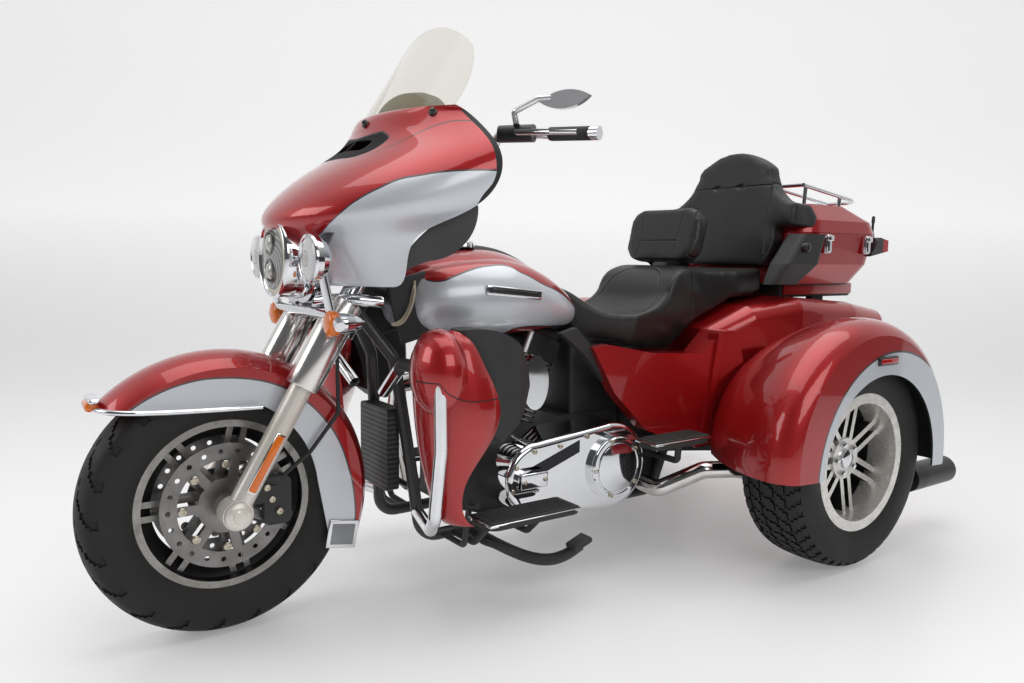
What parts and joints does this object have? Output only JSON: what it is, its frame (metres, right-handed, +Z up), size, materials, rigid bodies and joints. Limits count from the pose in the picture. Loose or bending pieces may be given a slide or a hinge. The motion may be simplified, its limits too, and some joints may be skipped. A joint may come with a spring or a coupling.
{
  "type": "motorized trike",
  "caption": "Three-wheeled touring motorcycle with a steered front wheel and fork-mounted fairing, twin driven rear wheels, two seats, boot and lidded luggage case.",
  "frame": {"origin": "on the floor, at the centre of the length and width", "axes": "+X points forward, +Y to the rider's left, +Z up"},
  "size_m": [2.67, 1.39, 1.511],
  "materials": {
    "candy_red": "metallic candy red lacquer, gloss",
    "chrome": "polished chrome",
    "black_plastic": "moulded black, satin",
    "black_metal": "black wrinkle paint with bright machined edges",
    "aluminium": "machined and clear coated",
    "rubber": "plain",
    "tyre": "road tread",
    "black_vinyl": "grained vinyl",
    "windshield_glass": "clear acrylic, faintly tinted",
    "lamp_chrome": "polished shells with clear lenses",
    "red_lens": "red lens",
    "disc_steel": "ground and drilled",
    "frame_black": "gloss black"
  },
  "bodies": {
    "chassis": {"frame": "frame_black", "crankcase": "black_metal", "cylinders": "black_metal", "primary_cover": "chrome", "engine_covers": "chrome", "exhaust": "chrome", "drive_belt": "rubber", "rear_axle": "frame_black", "fuel_tank": "candy_red", "seat": "black_vinyl", "rider_backrest": "black_vinyl", "engine_guard": "chrome", "lower_fairings": "candy_red", "dark_panels": "black_plastic", "oil_cooler": "black_plastic", "footboards": "black_plastic", "foot_controls": "frame_black", "side_covers": "candy_red", "rear_body": "candy_red", "rear_fenders": "candy_red", "tail_lamps": "red_lens", "luggage_case": "candy_red", "speaker_pods": "black_plastic"},
    "steering": {"fork_sliders": "aluminium", "fork_tubes": "chrome", "triple_clamps": "chrome", "front_fender": "candy_red", "brake_calipers": "black_metal", "brake_hose": "rubber", "fairing": "candy_red", "inner_fairing": "black_plastic", "fairing_deflectors": "black_plastic", "windshield": "windshield_glass", "headlamp": "lamp_chrome", "lamp_bar": "lamp_chrome", "handlebar": "chrome", "hand_controls": "chrome"},
    "wheel_front": {"front_tyre": "tyre", "front_wheel": "aluminium", "front_discs": "disc_steel"},
    "wheel_left": {"rear_tyre_left": "tyre", "rear_wheel_left": "aluminium"},
    "wheel_right": {"rear_tyre_right": "tyre", "rear_wheel_right": "aluminium"},
    "lid": {"case_lid": "candy_red", "passenger_backrest": "black_vinyl", "luggage_rack": "chrome"},
    "door": {"boot_door": "candy_red"}
  },
  "joints": [
    {"name": "steering_head", "type": "hinge", "parent": "chassis", "child": "steering", "pos_m": [0.64967, 0, 0.81291], "axis": [-0.5, 0, 0.866], "range_deg": [-30, 30]},
    {"name": "front_wheel_spin", "type": "hinge", "parent": "steering", "child": "wheel_front", "pos_m": [1.019, 0, 0.316], "axis": [0, 1, 0], "continuous": true},
    {"name": "left_wheel_spin", "type": "hinge", "parent": "chassis", "child": "wheel_left", "pos_m": [-0.651, 0.555, 0.322], "axis": [0, 1, 0], "continuous": true},
    {"name": "right_wheel_spin", "type": "hinge", "parent": "chassis", "child": "wheel_right", "pos_m": [-0.651, -0.555, 0.322], "axis": [0, 1, 0], "continuous": true},
    {"name": "case_lid_hinge", "type": "hinge", "parent": "chassis", "child": "lid", "pos_m": [-1.071, -0.29, 1.008], "axis": [1, 0, 0], "range_deg": [0, 80]},
    {"name": "boot_door_hinge", "type": "hinge", "parent": "chassis", "child": "door", "pos_m": [-1.2754, 0, 0.419], "axis": [0, -1, 0], "range_deg": [0, 85]}
  ]
}
